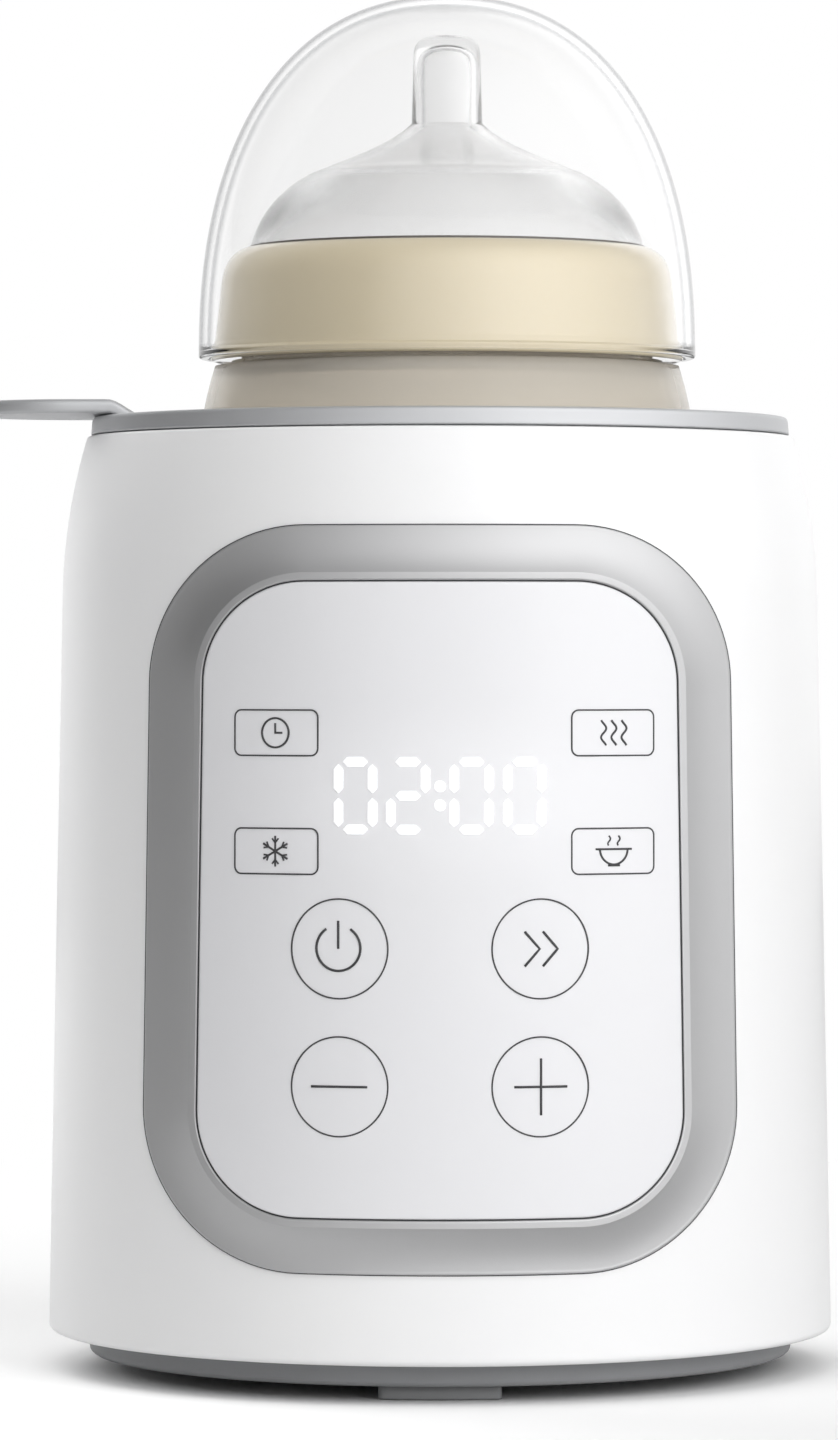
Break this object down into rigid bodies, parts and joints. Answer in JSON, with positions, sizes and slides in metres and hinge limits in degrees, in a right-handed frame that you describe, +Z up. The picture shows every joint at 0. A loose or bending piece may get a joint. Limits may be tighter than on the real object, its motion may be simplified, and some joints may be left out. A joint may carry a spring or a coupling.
{
  "type": "bottle warmer",
  "caption": "Round countertop bottle warmer and steriliser with a curved touch panel, a lift-out basket with a side tab, and a capped feeding bottle standing in it.",
  "frame": {"origin": "on the housing's axis at table level, under the pad in the middle of the base plate", "axes": "+Z up along the housing's axis, -Y out of the control panel, -X along the basket's lifting tab"},
  "size_m": [0.1364, 0.1282, 0.2168],
  "materials": {
    "housing_white": "smooth satin white",
    "base_grey": "fine matt grey",
    "foot_rubber": "matt grey rubber",
    "gland_rubber": "matt black rubber",
    "bezel_grey": "satin light grey",
    "panel_white": "glossy white",
    "guide_clear": "clear",
    "board_green": "solder mask",
    "display_black": "glossy black",
    "contact_brass": "bright",
    "led_white": "milky",
    "cable_grey": "matt",
    "component_black": "matt",
    "tank_grey": "smooth light grey",
    "screw_steel": "zinc plated",
    "seal_red": "matt silicone",
    "plate_aluminium": "spun",
    "retainer_steel": "stamped",
    "element_ceramic": "matt ceramic",
    "fuse_white": "ceramic",
    "lead_red": "silicone sleeve",
    "transformer_yellow": "taped winding",
    "relay_blue": "moulded",
    "capacitor_navy": "sleeved",
    "terminal_green": "moulded",
    "basket_grey": "satin light grey",
    "bottle_clear": "slightly tinted, clear",
    "nipple_silicone": "clear silicone",
    "collar_cream": "satin cream",
    "cap_clear": "clear"
  },
  "bodies": {
    "housing": {"outer_shell": "housing_white", "base_plate": "base_grey", "front_foot": "foot_rubber", "rear_left_foot": "foot_rubber", "rear_right_foot": "foot_rubber", "base_screws": "screw_steel", "cord_gland": "gland_rubber", "front_bezel": "bezel_grey", "control_panel": "panel_white", "light_guides": "guide_clear", "control_board": "board_green", "led_display": "display_black", "touch_springs": "contact_brass", "indicator_leds": "led_white", "board_screws": "screw_steel", "panel_cable": "cable_grey", "buzzer": "component_black", "water_tank": "tank_grey", "tank_flange": "tank_grey", "tank_floor": "tank_grey", "tank_screws": "screw_steel", "tank_seal": "seal_red", "heater_plate": "plate_aluminium", "heater_retainer": "retainer_steel", "heater_screws": "screw_steel", "heater_element": "element_ceramic", "heater_clip": "retainer_steel", "clip_screws": "screw_steel", "thermal_fuse": "fuse_white", "temperature_sensor": "contact_brass", "heater_leads": "lead_red", "power_board": "board_green", "power_board_screws": "screw_steel", "power_transformer": "transformer_yellow", "relay": "relay_blue", "filter_capacitor": "capacitor_navy", "mains_fuse": "fuse_white", "terminal_block": "terminal_green"},
    "basket": {"basket_rim": "basket_grey", "basket_wall": "basket_grey", "basket_floor": "basket_grey"},
    "bottle": {"bottle": "bottle_clear"},
    "nipple": {"nipple": "nipple_silicone"},
    "collar": {"collar": "collar_cream"},
    "cap": {"dome_cap": "cap_clear"}
  },
  "joints": [
    {"name": "basket_lift", "type": "slide", "parent": "housing", "child": "basket", "axis": [0, 0, 1], "range_m": [0, 0.112]},
    {"name": "bottle_lift", "type": "slide", "parent": "basket", "child": "bottle", "axis": [0, 0, 1], "range_m": [0, 0.112]},
    {"name": "nipple_rise", "type": "slide", "parent": "bottle", "child": "nipple", "axis": [0, 0, 1], "range_m": [0, 0.009]},
    {"name": "collar_turn", "type": "hinge", "parent": "nipple", "child": "collar", "pos_m": [0.0011, 0, 0.167], "axis": [0, 0, 1], "range_deg": [0, 540]},
    {"name": "cap_lift", "type": "slide", "parent": "collar", "child": "cap", "axis": [0, 0, 1], "range_m": [0, 0.058]}
  ],
  "couplings": [
    {"joint": "nipple_rise", "follows": "collar_turn", "m_per_rad": 0.00095493}
  ]
}
